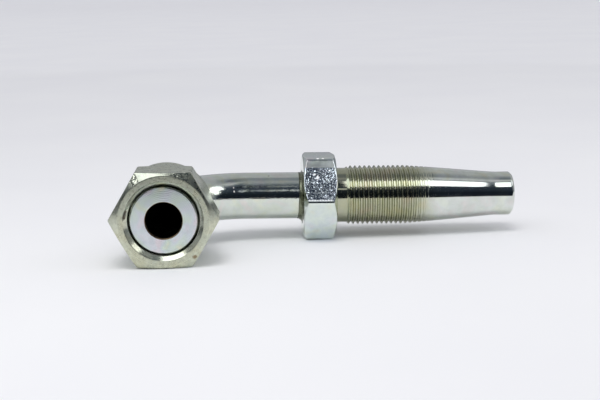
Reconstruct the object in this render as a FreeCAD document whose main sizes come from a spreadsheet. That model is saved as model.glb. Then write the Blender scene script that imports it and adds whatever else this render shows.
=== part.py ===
import FreeCAD, Part
import math
import os
import Sketcher

# Bent-tube swivel fitting for a hydraulic hose: a loose hex nut on a flat-faced seat, a brazed elbow
# tube, and a hose nipple with wrench flats, a holding thread and a tapered nose.
#
# Frame: the origin is the centre of the flat sealing face. The nut points along -Y, the nipple along
# +X, and both axes lie level, so the part lies on its hex flats as it does on a table. Lengths are in
# millimetres. Both threads are rings of the thread's form at its pitch.

DIMENSIONS = [
    ("nut_flats", 30.0, "swivel nut, across flats"),
    ("nut_hex_length", 15.7, "swivel nut, length of the hexagon"),
    ("nut_length", 24.3, "swivel nut, overall length"),
    ("nut_lead", 1.1, "swivel nut, front face ahead of the sealing face"),
    ("nut_ring", 14.2, "swivel nut, radius where the front chamfer starts"),
    ("nut_collar", 14.9, "swivel nut, radius of the round collar"),
    ("nut_mouth", 12.6, "swivel nut, radius of the countersink at the face"),
    ("nut_minor", 11.19, "swivel nut, minor radius of its thread"),
    ("nut_major", 12.0, "swivel nut, major radius of its thread"),
    ("nut_pitch", 1.5, "swivel nut, thread pitch"),
    ("nut_first", 1.95, "swivel nut, face to the middle of the first thread groove"),
    ("nut_turns", 8, "swivel nut, number of thread grooves"),
    ("nut_thread_end", 12.6, "swivel nut, face to the thread's undercut"),
    ("nut_undercut_end", 14.8, "swivel nut, face to the end of the undercut"),
    ("nut_undercut", 12.2, "swivel nut, radius of the undercut"),
    ("nut_bore", 10.9, "swivel nut, radius of the bore behind the thread"),
    ("edge_break", 0.5, "small chamfer on turned edges"),
    ("wire_set", 17.3, "sealing face to the middle of the retaining wire"),
    ("wire_ring", 11.0, "retaining wire, radius of its centre line"),
    ("wire_half", 1.0, "retaining wire, half its thickness"),
    ("wire_groove", 12.3, "swivel nut, radius of the wire's groove"),
    ("wire_play", 0.3, "swivel nut, clearance each side of the wire"),
    ("wire_arc", 344, "retaining wire, degrees that it goes round"),
    ("drop", 42.0, "sealing face to the nipple's axis"),
    ("seat_outer", 10.6, "seat sleeve, outer radius"),
    ("seat_length", 8.0, "seat sleeve, length"),
    ("seat_floor", 2.0, "seat sleeve, thickness in front of the tube"),
    ("seat_break", 0.35, "seat sleeve, chamfer at the bore's mouth"),
    ("tube_outer", 8.0, "elbow tube, outer radius"),
    ("tube_bore", 5.7, "elbow tube, bore radius"),
    ("tube_bend", 27.0, "elbow tube, radius of the bend's centre line"),
    ("socket_gap", 0.05, "brazing gap between tube and socket"),
    ("nipple_set", 45.4, "nut axis to the nipple's near hex face"),
    ("nipple_flats", 28.0, "hose nipple, across flats"),
    ("nipple_hex_length", 11.3, "hose nipple, length of the hexagon"),
    ("nipple_ring", 13.7, "hose nipple, radius where the hex chamfers start"),
    ("nipple_socket", 7.0, "hose nipple, depth of the tube socket"),
    ("neck_end", 14.8, "hose nipple, near hex face to the thread"),
    ("hose_root", 9.4, "hose nipple, root radius of the thread and neck"),
    ("hose_major", 10.2, "hose nipple, major radius of the thread"),
    ("hose_pitch", 1.66, "hose nipple, thread pitch"),
    ("hose_first", 1.43, "hose nipple, start of the thread to the middle of its first groove"),
    ("hose_turns", 17, "hose nipple, number of thread grooves"),
    ("taper_start", 34.85, "hose nipple, near hex face to the taper"),
    ("taper_end", 67.2, "hose nipple, near hex face to the end land"),
    ("nose_outer", 7.6, "hose nipple, radius of the end land"),
    ("nipple_length", 73.1, "hose nipple, overall length"),
    ("nose_round", 0.6, "hose nipple, rounding of the nose rim"),
    ("seat_fillet", 1.4, "braze fillet behind the seat sleeve"),
    ("hex_fillet", 1.9, "braze fillet at the nipple's hexagon"),
    ("crest_over", 0.15, "thread cutter, reach past the crests"),
    ("past", 1.0, "cutting outlines, reach past the metal"),
]

# Half of the 60 degree thread form, as a slope, and half of the flat at a groove's root, in pitches.
FLANK = "tan(30)"
ROOT_FLAT = "0.14"


def driving_sheet(doc):
    """The spreadsheet that holds every driving dimension under its own name."""
    sheet = doc.addObject("Spreadsheet::Sheet", "size")
    for row, (alias, value, meaning) in enumerate(DIMENSIONS, start=1):
        sheet.set("A%d" % row, meaning)
        sheet.set("B%d" % row, str(value))
        sheet.setAlias("B%d" % row, alias)
    doc.recompute()
    return sheet


def new_body(doc, label):
    """An empty body named for its node."""
    body = doc.addObject("PartDesign::Body", label)
    body.Label = label
    return body


def datum(body, role):
    """The origin plane or axis of a body with this role, such as XY_Plane or X_Axis."""
    return [item for item in body.Origin.OriginFeatures if item.Role == role][0]


def new_sketch(body, name, role):
    """A sketch lying on one of the body's own origin planes."""
    sketch = body.newObject("Sketcher::SketchObject", name)
    sketch.AttachmentSupport = [(datum(body, role), "")]
    sketch.MapMode = "FlatFace"
    return sketch


def pin_point(sketch, edge, end, name, across, up=None):
    """Holds one end of an edge at two sizes, across and up from the sketch's origin."""
    here = sketch.getPoint(edge, end)
    for axis, letter, value, size in (("DistanceX", "x", here.x, across), ("DistanceY", "y", here.y, up)):
        if size is None:
            continue
        number = sketch.addConstraint(Sketcher.Constraint(axis, -1, 1, edge, end, value))
        sketch.renameConstraint(number, letter + name)
        sketch.setExpression("Constraints." + letter + name, size)


def draw(sketch, corners, arcs=None, closed=True):
    """An outline through the corners, given as pairs of sizes. arcs names the corners where the edge
    leaving is an arc, by the size across to its centre and whether it turns left (+1) or right (-1)."""
    arcs = arcs or {}
    count = len(corners)
    edges = count if closed else count - 1
    start = [FreeCAD.Vector(10 * math.cos(2 * math.pi * i / count), 10 * math.sin(2 * math.pi * i / count), 0)
             for i in range(count)]
    ends = []
    for i in range(edges):
        if i in arcs:
            circle = Part.Circle(FreeCAD.Vector(0, 0, 0), FreeCAD.Vector(0, 0, 1), 10)
            angles = [2 * math.pi * i / count, 2 * math.pi * (i + 1) / count]
            if arcs[i][1] < 0:
                angles = [angles[1], angles[0] + 2 * math.pi]
            sketch.addGeometry(Part.ArcOfCircle(circle, *angles), False)
            ends.append((1, 2) if arcs[i][1] > 0 else (2, 1))
        else:
            sketch.addGeometry(Part.LineSegment(start[i], start[(i + 1) % count]), False)
            ends.append((1, 2))
    for i in range(edges if closed else edges - 1):
        after = (i + 1) % edges
        sketch.addConstraint(Sketcher.Constraint("Coincident", i, ends[i][1], after, ends[after][0]))
    for i, (across, up) in enumerate(corners):
        edge, end = (i, ends[i][0]) if i < edges else (i - 1, ends[i - 1][1])
        pin_point(sketch, edge, end, "p%d" % i, across, up)
    for i, (centre, _) in arcs.items():
        pin_point(sketch, i, 3, "c%d" % i, centre)


def draw_circle(sketch, radius, name, across=None, up=None):
    """A circle about the sketch's origin, or about a point across and up from it."""
    edge = sketch.addGeometry(Part.Circle(FreeCAD.Vector(1, 1, 0), FreeCAD.Vector(0, 0, 1), 5), False)
    number = sketch.addConstraint(Sketcher.Constraint("Radius", edge, 5.0))
    sketch.renameConstraint(number, "r" + name)
    sketch.setExpression("Constraints.r" + name, radius)
    if across is None:
        sketch.addConstraint(Sketcher.Constraint("Coincident", edge, 3, -1, 1))
    else:
        pin_point(sketch, edge, 3, name, across, up)


def turn(body, kind, name, sketch, angle="360"):
    """Turns a sketch about the body's X axis, adding or removing metal."""
    feature = body.newObject("PartDesign::" + kind, name)
    feature.Profile = sketch
    feature.ReferenceAxis = (sketch, ["H_Axis"])
    feature.setExpression("Angle", angle)
    body.Document.recompute()
    return feature


def hexagon(body, name, flats, length):
    """A hexagonal bar along X with a flat facing up and a flat facing down."""
    sketch = new_sketch(body, name + "_outline", "YZ_Plane")
    corner = "%s / sqrt(3)" % flats
    half = "%s / sqrt(3) / 2" % flats
    up = "%s / 2" % flats
    draw(sketch, [(corner, "0"), (half, up), ("-" + half, up), ("-" + corner, "0"),
                  ("-" + half, "-" + up), (half, "-" + up)])
    pad = body.newObject("PartDesign::Pad", name)
    pad.Profile = sketch
    pad.setExpression("Length", length)
    body.Document.recompute()
    return pad


def end_chamfer(body, name, face, ring, flats, away):
    """A 30 degree chamfer turned on the end of a hexagon. away is -1 where the bar lies towards +X."""
    tip = "%s / sqrt(3) + size.past" % flats
    sketch = new_sketch(body, name + "_outline", "XY_Plane")
    slant = "%s - (%s) * (%s - %s) * %s" % (face, away, tip, ring, FLANK)
    draw(sketch, [(face, ring), (slant, tip), (face, tip)])
    return turn(body, "Groove", name, sketch)


def cut_thread(body, name, first, root, wide, pitch, turns):
    """The thread's grooves, one for each turn. A groove's tip is at radius root, and it widens to wide."""
    sketch = new_sketch(body, name + "_form", "XY_Plane")
    tip = "%s * %s" % (pitch, ROOT_FLAT)
    base = "(%s + abs(%s - (%s)) * %s)" % (tip, root, wide, FLANK)
    draw(sketch, [("%s - %s" % (first, tip), root), ("%s + %s" % (first, tip), root),
                  ("%s + %s" % (first, base), wide), ("%s - %s" % (first, base), wide)])
    groove = turn(body, "Groove", name + "_groove", sketch)
    rings = body.newObject("PartDesign::LinearPattern", name)
    rings.Originals = [groove]
    rings.Direction = (sketch, ["H_Axis"])
    rings.setExpression("Length", "%s * (%s - 1)" % (pitch, turns))
    rings.setExpression("Occurrences", turns)
    body.Tip = rings
    body.Document.recompute()
    return rings


def place(body, across, along, degrees=0.0):
    """Sets a finished body in the frame: at X across and Y along, turned about Z."""
    about_z = FreeCAD.Rotation(FreeCAD.Vector(0, 0, 1), degrees)
    body.Placement = FreeCAD.Placement(FreeCAD.Vector(0, 0, 0), about_z)
    body.setExpression("Placement.Base.x", across)
    body.setExpression("Placement.Base.y", along)


def make_swivel_nut(doc):
    """Hex nut with a round collar behind, turned and threaded from the front."""
    body = new_body(doc, "swivel_nut")
    hexagon(body, "nut_hex", "size.nut_flats", "size.nut_hex_length")
    end_chamfer(body, "front_chamfer", "0", "size.nut_ring", "size.nut_flats", "-1")
    end_chamfer(body, "rear_chamfer", "size.nut_hex_length", "size.nut_flats / 2", "size.nut_flats", "1")
    collar = new_sketch(body, "collar_outline", "XY_Plane")
    overlap = "size.nut_hex_length - size.past"
    draw(collar, [(overlap, "0"), (overlap, "size.nut_collar"),
                  ("size.nut_length - size.edge_break", "size.nut_collar"),
                  ("size.nut_length", "size.nut_collar - size.edge_break"), ("size.nut_length", "0")])
    turn(body, "Revolution", "collar", collar)
    bore = new_sketch(body, "bore_outline", "XY_Plane")
    wire_middle = "(size.nut_lead + size.wire_set)"
    groove_half = "(size.wire_half + size.wire_play)"
    draw(bore, [("-size.past", "0"), ("-size.past", "size.nut_mouth + size.past"),
                ("size.nut_mouth - size.nut_minor", "size.nut_minor"),
                ("size.nut_thread_end", "size.nut_minor"), ("size.nut_thread_end", "size.nut_undercut"),
                ("size.nut_undercut_end", "size.nut_undercut"), ("size.nut_undercut_end", "size.nut_bore"),
                (wire_middle + " - " + groove_half, "size.nut_bore"),
                (wire_middle + " - " + groove_half, "size.wire_groove"),
                (wire_middle + " + " + groove_half, "size.wire_groove"),
                (wire_middle + " + " + groove_half, "size.nut_bore"),
                ("size.nut_length - size.edge_break", "size.nut_bore"),
                ("size.nut_length + size.past", "size.nut_bore + size.edge_break + size.past"),
                ("size.nut_length + size.past", "0")])
    turn(body, "Groove", "bore", bore)
    cut_thread(body, "nut_thread", "size.nut_first", "size.nut_major", "size.nut_minor - size.crest_over",
               "size.nut_pitch", "size.nut_turns")
    place(body, "0", "-size.nut_lead", 90)
    return body


def make_retaining_wire(doc):
    """Split ring of round wire that keeps the nut on the fitting."""
    body = new_body(doc, "retaining_wire")
    sketch = new_sketch(body, "wire_section", "XY_Plane")
    draw_circle(sketch, "size.wire_half", "wire", "0", "size.wire_ring")
    turn(body, "Revolution", "wire", sketch, "size.wire_arc")
    place(body, "0", "size.wire_set", 90)
    return body


def make_seat_sleeve(doc):
    """Flat-faced sleeve that seals against the mating port, with a socket for the tube behind."""
    body = new_body(doc, "seat_sleeve")
    sketch = new_sketch(body, "sleeve_outline", "XY_Plane")
    socket = "size.tube_outer + size.socket_gap"
    draw(sketch, [("0", "size.tube_bore + size.seat_break"), ("0", "size.seat_outer - size.seat_break"),
                  ("size.seat_break", "size.seat_outer"),
                  ("size.seat_length - size.edge_break", "size.seat_outer"),
                  ("size.seat_length", "size.seat_outer - size.edge_break"), ("size.seat_length", socket),
                  ("size.seat_floor", socket), ("size.seat_floor", "size.tube_bore"),
                  ("size.seat_break", "size.tube_bore")])
    turn(body, "Revolution", "sleeve", sketch)
    place(body, "0", "0", 90)
    return body


def make_elbow_tube(doc):
    """Drawn steel tube with one right-angle bend, drawn from the seat end."""
    body = new_body(doc, "elbow_tube")
    section = new_sketch(body, "tube_section", "XZ_Plane")
    draw_circle(section, "size.tube_outer", "outer")
    draw_circle(section, "size.tube_bore", "inner")
    path = new_sketch(body, "tube_path", "XY_Plane")
    rise = "(size.drop - size.seat_floor)"
    draw(path, [("0", "0"), ("0", rise + " - size.tube_bend"), ("size.tube_bend", rise),
                ("size.nipple_set + size.nipple_socket", rise)],
         arcs={1: ("size.tube_bend", -1)}, closed=False)
    doc.recompute()
    pipe = body.newObject("PartDesign::AdditivePipe", "bent_tube")
    pipe.Profile = section
    pipe.Spine = path
    doc.recompute()
    place(body, "0", "size.seat_floor")
    return body


def make_fillet(doc, label, across, along, size, degrees):
    """Ring of brazing metal drawn into the corner between a tube and a face, with a hollow flank."""
    body = new_body(doc, label)
    sketch = new_sketch(body, label + "_outline", "XY_Plane")
    draw(sketch, [("0", "size.tube_outer"), ("0", "size.tube_outer + " + size),
                  ("-" + size, "size.tube_outer")],
         arcs={1: ("-" + size, -1)})
    turn(body, "Revolution", label + "_ring", sketch)
    place(body, across, along, degrees)
    return body


def make_hose_nipple(doc):
    """Hose end turned from hex bar: wrench flats, neck, thread, tapered nose and through bore."""
    body = new_body(doc, "hose_nipple")
    hexagon(body, "nipple_hex", "size.nipple_flats", "size.nipple_hex_length")
    end_chamfer(body, "near_chamfer", "0", "size.nipple_ring", "size.nipple_flats", "-1")
    end_chamfer(body, "far_chamfer", "size.nipple_hex_length", "size.nipple_ring", "size.nipple_flats", "1")
    shank = new_sketch(body, "shank_outline", "XY_Plane")
    overlap = "size.nipple_hex_length - size.past"
    draw(shank, [(overlap, "0"), (overlap, "size.hose_root"),
                 ("size.neck_end", "size.hose_root"),
                 ("size.neck_end + (size.hose_major - size.hose_root) * " + FLANK, "size.hose_major"),
                 ("size.taper_start", "size.hose_major"), ("size.taper_end", "size.nose_outer"),
                 ("size.nipple_length - size.nose_round", "size.nose_outer"),
                 ("size.nipple_length", "size.nose_outer - size.nose_round"), ("size.nipple_length", "0")],
         arcs={6: ("size.nipple_length - size.nose_round", -1)})
    turn(body, "Revolution", "shank", shank)
    bore = new_sketch(body, "nipple_bore_outline", "XY_Plane")
    socket = "size.tube_outer + size.socket_gap"
    draw(bore, [("-size.past", "0"), ("-size.past", socket),
                ("size.nipple_socket", socket), ("size.nipple_socket", "size.tube_bore"),
                ("size.nipple_length - size.edge_break", "size.tube_bore"),
                ("size.nipple_length + size.past", "size.tube_bore + size.edge_break + size.past"),
                ("size.nipple_length + size.past", "0")])
    turn(body, "Groove", "nipple_bore", bore)
    cut_thread(body, "hose_thread", "size.neck_end + size.hose_first", "size.hose_root",
               "size.hose_major + size.crest_over", "size.hose_pitch", "size.hose_turns")
    place(body, "size.nipple_set", "size.drop")
    return body


def save(doc, bodies):
    """Checks that every feature is sound, then writes one solid per node."""
    for item in doc.Objects:
        if "Invalid" in item.State or "Error" in item.State:
            raise RuntimeError("%s is in state %s" % (item.Name, item.State))
    os.makedirs("parts", exist_ok=True)
    for body in bodies:
        shape = body.Shape
        if shape.isNull() or not shape.isValid() or len(shape.Solids) != 1:
            raise RuntimeError("%s is not one valid solid" % body.Label)
        shape.exportStep("parts/%s.step" % body.Label)
        print(body.Label, "%.1f mm3" % shape.Volume, shape.BoundBox)


doc = FreeCAD.newDocument("swivel_elbow")
driving_sheet(doc)
bodies = [
    make_swivel_nut(doc),
    make_retaining_wire(doc),
    make_seat_sleeve(doc),
    make_elbow_tube(doc),
    make_fillet(doc, "seat_braze", "0", "size.seat_length", "size.seat_fillet", -90),
    make_fillet(doc, "nipple_braze", "size.nipple_set", "size.drop", "size.hex_fillet", 0),
    make_hose_nipple(doc),
]
doc.recompute()
save(doc, bodies)
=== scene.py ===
import bpy
import numpy as np
from mathutils import Matrix, Vector


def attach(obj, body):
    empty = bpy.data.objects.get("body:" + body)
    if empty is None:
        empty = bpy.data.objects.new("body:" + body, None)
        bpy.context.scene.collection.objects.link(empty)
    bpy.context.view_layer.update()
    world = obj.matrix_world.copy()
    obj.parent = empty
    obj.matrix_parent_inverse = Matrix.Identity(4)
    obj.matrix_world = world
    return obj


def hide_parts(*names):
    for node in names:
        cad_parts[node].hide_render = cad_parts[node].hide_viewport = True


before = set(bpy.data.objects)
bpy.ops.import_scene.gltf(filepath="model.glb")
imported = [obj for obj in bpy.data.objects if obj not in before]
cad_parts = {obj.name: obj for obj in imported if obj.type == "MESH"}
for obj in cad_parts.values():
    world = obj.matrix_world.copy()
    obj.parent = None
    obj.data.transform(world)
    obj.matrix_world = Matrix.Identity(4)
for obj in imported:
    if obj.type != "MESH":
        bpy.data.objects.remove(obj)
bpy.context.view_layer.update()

# Camera. The photograph was taken from a little above the nut's mouth, about 35 cm away.
# The place, direction and focal length come from a fit to the edges of the hexagons, mouth and tube.
PHOTO_WIDTH, FOCAL_PIXELS, SENSOR = 600, 1156.2, 36.0
EYE = (0.02176, -0.35214, 0.07137)
YAW, PITCH_DOWN = -0.0582, 0.183
NEAREST, FARTHEST = 0.01, 150.0

lens = bpy.data.cameras.new("camera")
lens.sensor_width = SENSOR
lens.lens = SENSOR * FOCAL_PIXELS / PHOTO_WIDTH
lens.clip_start, lens.clip_end = NEAREST, FARTHEST
camera = bpy.data.objects.new("camera", lens)
camera.location = EYE
level = np.cos(PITCH_DOWN)
looking = Vector((-np.sin(YAW) * level, np.cos(YAW) * level, -np.sin(PITCH_DOWN)))
camera.rotation_euler = looking.to_track_quat("-Z", "Y").to_euler()
bpy.context.scene.collection.objects.link(camera)
bpy.context.scene.camera = camera
bpy.context.scene.view_settings.view_transform = "Standard"

# Table. White laminate that the fitting lies on, touching the nut's and the nipple's lower flats,
# so it slopes by about a degree against the fitting's axes. It runs on to the horizon, and its colour
# greys a little on the way there: painted shade for the lamps' light falling off.
NUT_CORNER, NIPPLE_CORNER = (8.66, -15.0), (56.2, -14.0)
TABLE_REACH, FALLOFF_SHADE_FROM, FALLOFF_SHADE_AT = 60.0, 0.12, 5.0


def linear(code):
    """An sRGB hex colour as linear red, green, blue and 1: each channel below 0.04045 is divided by
    12.92, and each above it is ((c + 0.055) / 1.055) to the power 2.4."""
    srgb = np.array([int(code[i:i + 2], 16) for i in (1, 3, 5)]) / 255
    value = np.where(srgb <= 0.04045, srgb / 12.92, ((srgb + 0.055) / 1.055) ** 2.4)
    return (*value.tolist(), 1.0)


def add(tree, kind, inputs=None, ramp=None, **settings):
    """Adds one node. settings are its properties, inputs are values or the sockets that feed it, and
    ramp is a list of places and colours for a colour ramp."""
    node = tree.nodes.new(kind)
    for name, value in settings.items():
        setattr(node, name, value)
    for place, (position, colour) in enumerate(ramp or []):
        stops = node.color_ramp.elements
        stop = stops[place] if place < 2 else stops.new(position)
        stop.position = position
        stop.color = linear(colour)
    for socket, value in (inputs or {}).items():
        if isinstance(value, bpy.types.NodeSocket):
            tree.links.new(value, node.inputs[socket])
        else:
            node.inputs[socket].default_value = value
    return node


def sheet_mesh(name, points):
    """A grid of points (rows, columns, 3) in metres as a mesh of quads, four neighbours to a quad."""
    rows, columns = points.shape[:2]
    index = np.arange(rows * columns).reshape(rows, columns)
    quads = np.stack([index[:-1, :-1], index[:-1, 1:], index[1:, 1:], index[1:, :-1]], -1)
    mesh = bpy.data.meshes.new(name)
    mesh.from_pydata(points.reshape(-1, 3), [], quads.reshape(-1, 4).tolist())
    return mesh


slope = (NIPPLE_CORNER[1] - NUT_CORNER[1]) / (NIPPLE_CORNER[0] - NUT_CORNER[0])


def table_height(x):
    """Height of the table in metres at x: a straight line through the two corners that touch it."""
    return NUT_CORNER[1] / 1000 + (x - NUT_CORNER[0] / 1000) * slope


reach = np.linspace(-TABLE_REACH, TABLE_REACH, 13)
across, along = np.meshgrid(reach, reach)
table_points = np.stack([across, along, table_height(across)], -1)
table = bpy.data.objects.new("table", sheet_mesh("table", table_points))
bpy.context.scene.collection.objects.link(table)

# Laminate: an even, dull white with a mottle too weak to notice, and hardly any gloss.
laminate = bpy.data.materials.new("white_laminate")
laminate.use_nodes = True
tree = laminate.node_tree
tree.nodes.clear()
place = add(tree, "ShaderNodeTexCoord")
mottle = add(tree, "ShaderNodeTexNoise", {"Vector": place.outputs["Object"], "Scale": 9.0, "Detail": 3.0})
tone = add(tree, "ShaderNodeValToRGB", {"Fac": mottle.outputs["Fac"]},
           ramp=[(0.3, "#f2f2f2"), (0.7, "#f5f5f4")])
# Painted shade: the white greys with distance from the fitting, standing in for the lamps' light falling
# off.
away = add(tree, "ShaderNodeVectorMath", {0: place.outputs["Object"]}, operation="LENGTH")
painted_falloff_shade = add(tree, "ShaderNodeMapRange",
             {"Value": away.outputs["Value"], "From Min": FALLOFF_SHADE_FROM, "From Max": FALLOFF_SHADE_AT})
far = add(tree, "ShaderNodeValToRGB", {"Fac": painted_falloff_shade.outputs["Result"]},
          ramp=[(0.0, "#ffffff"), (1.0, "#f6f6f7")])
faded = add(tree, "ShaderNodeMix", {0: 1.0, 6: tone.outputs["Color"], 7: far.outputs["Color"]},
            data_type="RGBA", blend_type="MULTIPLY")
shade = add(tree, "ShaderNodeBsdfPrincipled",
            {"Base Color": faded.outputs[2], "Roughness": 0.75, "Specular IOR Level": 0.1})
add(tree, "ShaderNodeOutputMaterial", {"Surface": shade.outputs["BSDF"]})
table.data.materials.append(laminate)

# Studio. A pale room with a window, and soft lamps at the right, at the upper left and overhead. Small
# lamps near the nipple and a grey tent, dark in front and pale behind, are seen by the metal alone and
# give it its light and dark bands.
ROOM, ROOM_STRENGTH = "#e3e4ec", 0.76
WINDOW_STRENGTH, WINDOW_SPREAD, WINDOW_PLACE = 0.66, 24.0, (-0.12, -0.24, 0.95)
# Name, centre, point that it faces, width and height in metres, radiance on the table and in metal.
LAMPS = (("right_lamp", (0.549, -0.058, 0.449), (0.1465, 0.1233, -0.094), (0.300, 0.315), 1.1, 2.2),
         ("left_lamp", (-0.115, -0.110, 0.233), (-0.115, 0.0, -0.050), (0.260, 0.210), 0.7, 2.6),
         ("front_lamp", (0.030, -0.110, 0.420), (0.040, 0.030, 0.0), (0.240, 0.240), 1.7, None))

# The room has its full strength to the camera and in the metal, and is dimmer as a light on the table.
world = bpy.data.worlds.new("room")
bpy.context.scene.world = world
world.use_nodes = True
tree = world.node_tree
tree.nodes.clear()
ray = add(tree, "ShaderNodeLightPath")
mirrored = add(tree, "ShaderNodeMath",
               {0: ray.outputs["Is Glossy Ray"], 1: ray.outputs["Is Transmission Ray"]},
               operation="MAXIMUM")
looked_at = add(tree, "ShaderNodeMath",
                {0: ray.outputs["Is Camera Ray"], 1: mirrored.outputs["Value"]}, operation="MAXIMUM")
strength = add(tree, "ShaderNodeMapRange",
               {"Value": looked_at.outputs["Value"], "To Min": ROOM_STRENGTH, "To Max": 1.0})
sky = add(tree, "ShaderNodeBackground", {"Color": linear(ROOM), "Strength": strength.outputs["Result"]})
add(tree, "ShaderNodeOutputWorld", {"Surface": sky.outputs["Background"]})

daylight = bpy.data.lights.new("window_light", "SUN")
daylight.energy, daylight.angle = WINDOW_STRENGTH, np.radians(WINDOW_SPREAD)
window = bpy.data.objects.new("window_light", daylight)
window.rotation_euler = Vector(WINDOW_PLACE).to_track_quat("Z", "Y").to_euler()
window.visible_glossy = False
bpy.context.scene.collection.objects.link(window)

# Tent cloth: it glows as its attribute says, bluish where dim. Metal that the table sees finds the
# cloth bright instead, so the fitting sheds light on the table beside it, as bright metal does.
BOUNCE = 0.9
glowing = bpy.data.materials.new("grey_tent_cloth")
glowing.use_nodes = True
tree = glowing.node_tree
tree.nodes.clear()
level = add(tree, "ShaderNodeAttribute", attribute_name="glow")
cloth = add(tree, "ShaderNodeValToRGB", {"Fac": level.outputs["Fac"]},
            ramp=[(0.01, "#b4d2ff"), (0.16, "#d8e6fb"), (0.4, "#f6f9ff")])
ray = add(tree, "ShaderNodeLightPath")
onto_table = add(tree, "ShaderNodeMath", {0: ray.outputs["Diffuse Depth"], 1: BOUNCE}, operation="MINIMUM")
power = add(tree, "ShaderNodeMath", {0: level.outputs["Fac"], 1: onto_table.outputs["Value"]},
            operation="MAXIMUM")
shine = add(tree, "ShaderNodeEmission",
            {"Color": cloth.outputs["Color"], "Strength": power.outputs["Value"]})
add(tree, "ShaderNodeOutputMaterial", {"Surface": shine.outputs["Emission"]})
glowing.cycles.emission_sampling = "NONE"


def only_in_metal(name, mesh, glow):
    """A stage piece that glows, with one brightness per vertex, and that only reflections see."""
    stage_piece = bpy.data.objects.new(name, mesh)
    bpy.context.scene.collection.objects.link(stage_piece)
    brightness = mesh.attributes.new("glow", "FLOAT", "POINT").data
    brightness.foreach_set("value", np.ravel(glow).astype(np.float32))
    mesh.materials.append(glowing)
    stage_piece.visible_camera = False
    stage_piece.visible_diffuse = False
    stage_piece.visible_shadow = False
    stage_piece.visible_transmission = False


# Each lamp is an ellipse, and its power is its radiance times pi times its area.
for name, centre, aim, size, on_table, in_metal in LAMPS:
    away = (Vector(centre) - Vector(aim)).normalized()
    wide = Vector((-away.y, away.x, 0)).normalized()
    tall = away.cross(wide)
    lamp = bpy.data.lights.new(name, "AREA")
    lamp.shape, lamp.size, lamp.size_y = "ELLIPSE", *size
    lamp.energy = on_table * np.pi * size[0] * size[1] * np.pi / 4
    lamp_object = bpy.data.objects.new(name, lamp)
    lamp_object.matrix_world = Matrix((wide, tall, away)).transposed().to_4x4()
    lamp_object.location = centre
    lamp_object.visible_glossy = False
    bpy.context.scene.collection.objects.link(lamp_object)
    if in_metal:
        corner = np.radians(np.arange(0, 360, 7.5))
        face = (np.array(centre) + np.outer(np.cos(corner) * size[0] / 2, wide)
                + np.outer(np.sin(corner) * size[1] / 2, tall))
        panel = bpy.data.meshes.new(name + "_face")
        panel.from_pydata(face, [], [list(range(len(face)))])
        only_in_metal(name + "_face", panel, np.full(len(face), in_metal))

# Lamps close to the nipple, seen by the metal alone: a trough with a rounded end, a dark flag at its
# left, and two rows of small lamps above the camera. They are placed by their distance along X and from
# a line along the nipple's bright side, in mm, and by their rise above the horizon in degrees.
BRIGHT_SIDE = (35.0, 5.0)
TROUGH_REACH, TROUGH_MIDDLE = 60.0, 55.0
TROUGH_RISES, TROUGH_GLOWS = (43, 45, 67, 70), (2.0, 2.2, 2.2, 1.2)
TROUGH_PLACES = (65.0, 130.5, 131.2, 131.7, 132.0, 132.2)
ROUND_FROM, ROUND_LENGTH = 130.5, 1.9
FLAG_PLACE, FLAG_REACHES, FLAG_RISES, FLAG_GLOW = 63.5, (38.0, 66.0), (36.0, 58.0), 0.08
ROW_REACH, ROW_PLACES = 250.0, np.arange(20, 113, 0.8)
ROW_RISES, ROW_EDGES = (30.5, 32, 34, 36, 37.5), (0.2, 1, 1, 1, 0.2)
LOWER_SHARE, UPPER_SHARE, UPPER_LIFT = 0.75, 0.42, 21


def around_nipple(x, reach, rise):
    """Points in metres at reach from the bright side: (x, y - reach cos rise, z + reach sin rise)."""
    y, z = BRIGHT_SIDE
    rise = np.radians(rise)
    return np.stack(np.broadcast_arrays(x, y - reach * np.cos(rise), z + reach * np.sin(rise)), -1) / 1000


def small_lamps(x):
    """Brightness of a row at x: a line that grows along the tube, times 0.25 plus 1.1 times the product
    of two sines raised by a half and cut to 0 to 1. They make bright stretches of uneven length."""
    along_tube = np.interp(x, (20, 34, 48, 112), (0.25, 0.5, 1.2, 1.2))
    return along_tube * (0.25 + 1.1 * np.clip(np.sin(2.3 * x + 0.6) * np.sin(0.9 * x) + 0.5, 0, 1))


rise, x = np.meshgrid(TROUGH_RISES, TROUGH_PLACES, indexing="ij")
narrowed = np.sqrt(1 - (np.clip(x - ROUND_FROM, 0, None) / ROUND_LENGTH) ** 2)
rise = TROUGH_MIDDLE + (rise - TROUGH_MIDDLE) * narrowed
trough = sheet_mesh("nipple_lamp", around_nipple(x, TROUGH_REACH, rise))
only_in_metal("nipple_lamp", trough, np.repeat(TROUGH_GLOWS, len(TROUGH_PLACES)))
rise, reach = np.meshgrid(FLAG_RISES, FLAG_REACHES, indexing="ij")
flag = sheet_mesh("lamp_flag", around_nipple(FLAG_PLACE, reach, rise))
only_in_metal("lamp_flag", flag, np.full(4, FLAG_GLOW))
rise, x = np.meshgrid(ROW_RISES, ROW_PLACES, indexing="ij")
rise = rise + 0.5 * np.sin(1.7 * x) + 0.5 * np.sin(2.9 * x + 1)
row_glow = small_lamps(x) * np.array(ROW_EDGES)[:, None]
lower_row = sheet_mesh("lamp_row", around_nipple(x, ROW_REACH, rise))
only_in_metal("lamp_row", lower_row, LOWER_SHARE * row_glow)
upper_row = sheet_mesh("upper_lamp_row", around_nipple(x, ROW_REACH, rise + UPPER_LIFT))
on_tube_alone = np.interp(x, (36, 42, 62, 66), (0, 1, 1, 0))
only_in_metal("upper_lamp_row", upper_row, UPPER_SHARE * row_glow * on_tube_alone)

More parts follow.
